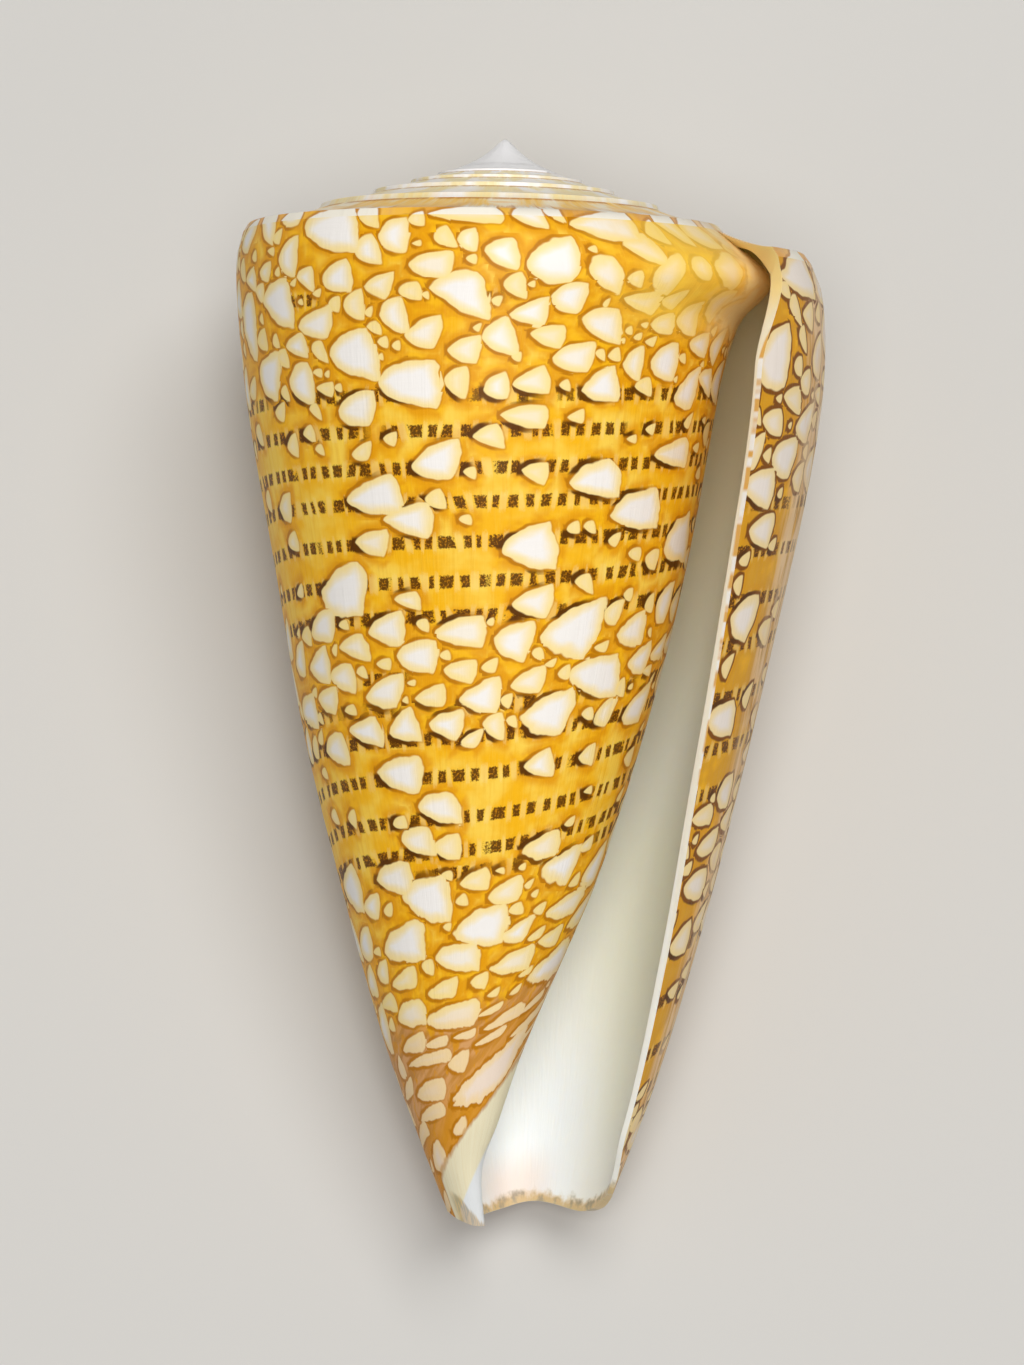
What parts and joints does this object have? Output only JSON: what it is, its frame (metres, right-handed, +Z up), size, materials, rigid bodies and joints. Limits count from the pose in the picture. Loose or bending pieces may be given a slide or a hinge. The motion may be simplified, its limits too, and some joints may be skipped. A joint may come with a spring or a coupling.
{
  "type": "cone shell",
  "caption": "Cone shell with a low stepped spire and a long narrow aperture, empty, lying on its back with the aperture up.",
  "frame": {"origin": "centre of the small flat spot on the shell's back that it rests on", "axes": "+Z up, out of the side with the aperture; +Y along the shell towards the apex, square to +Z; +X towards the outer lip's side"},
  "size_m": [0.0336, 0.0611, 0.0315],
  "materials": {
    "shell": "glossy golden-orange shell with white tent-shaped patches outlined in brown, dark dashed spiral lines, and a creamy white inside"
  },
  "bodies": {
    "root": {"shell": "shell"}
  },
  "joints": []
}
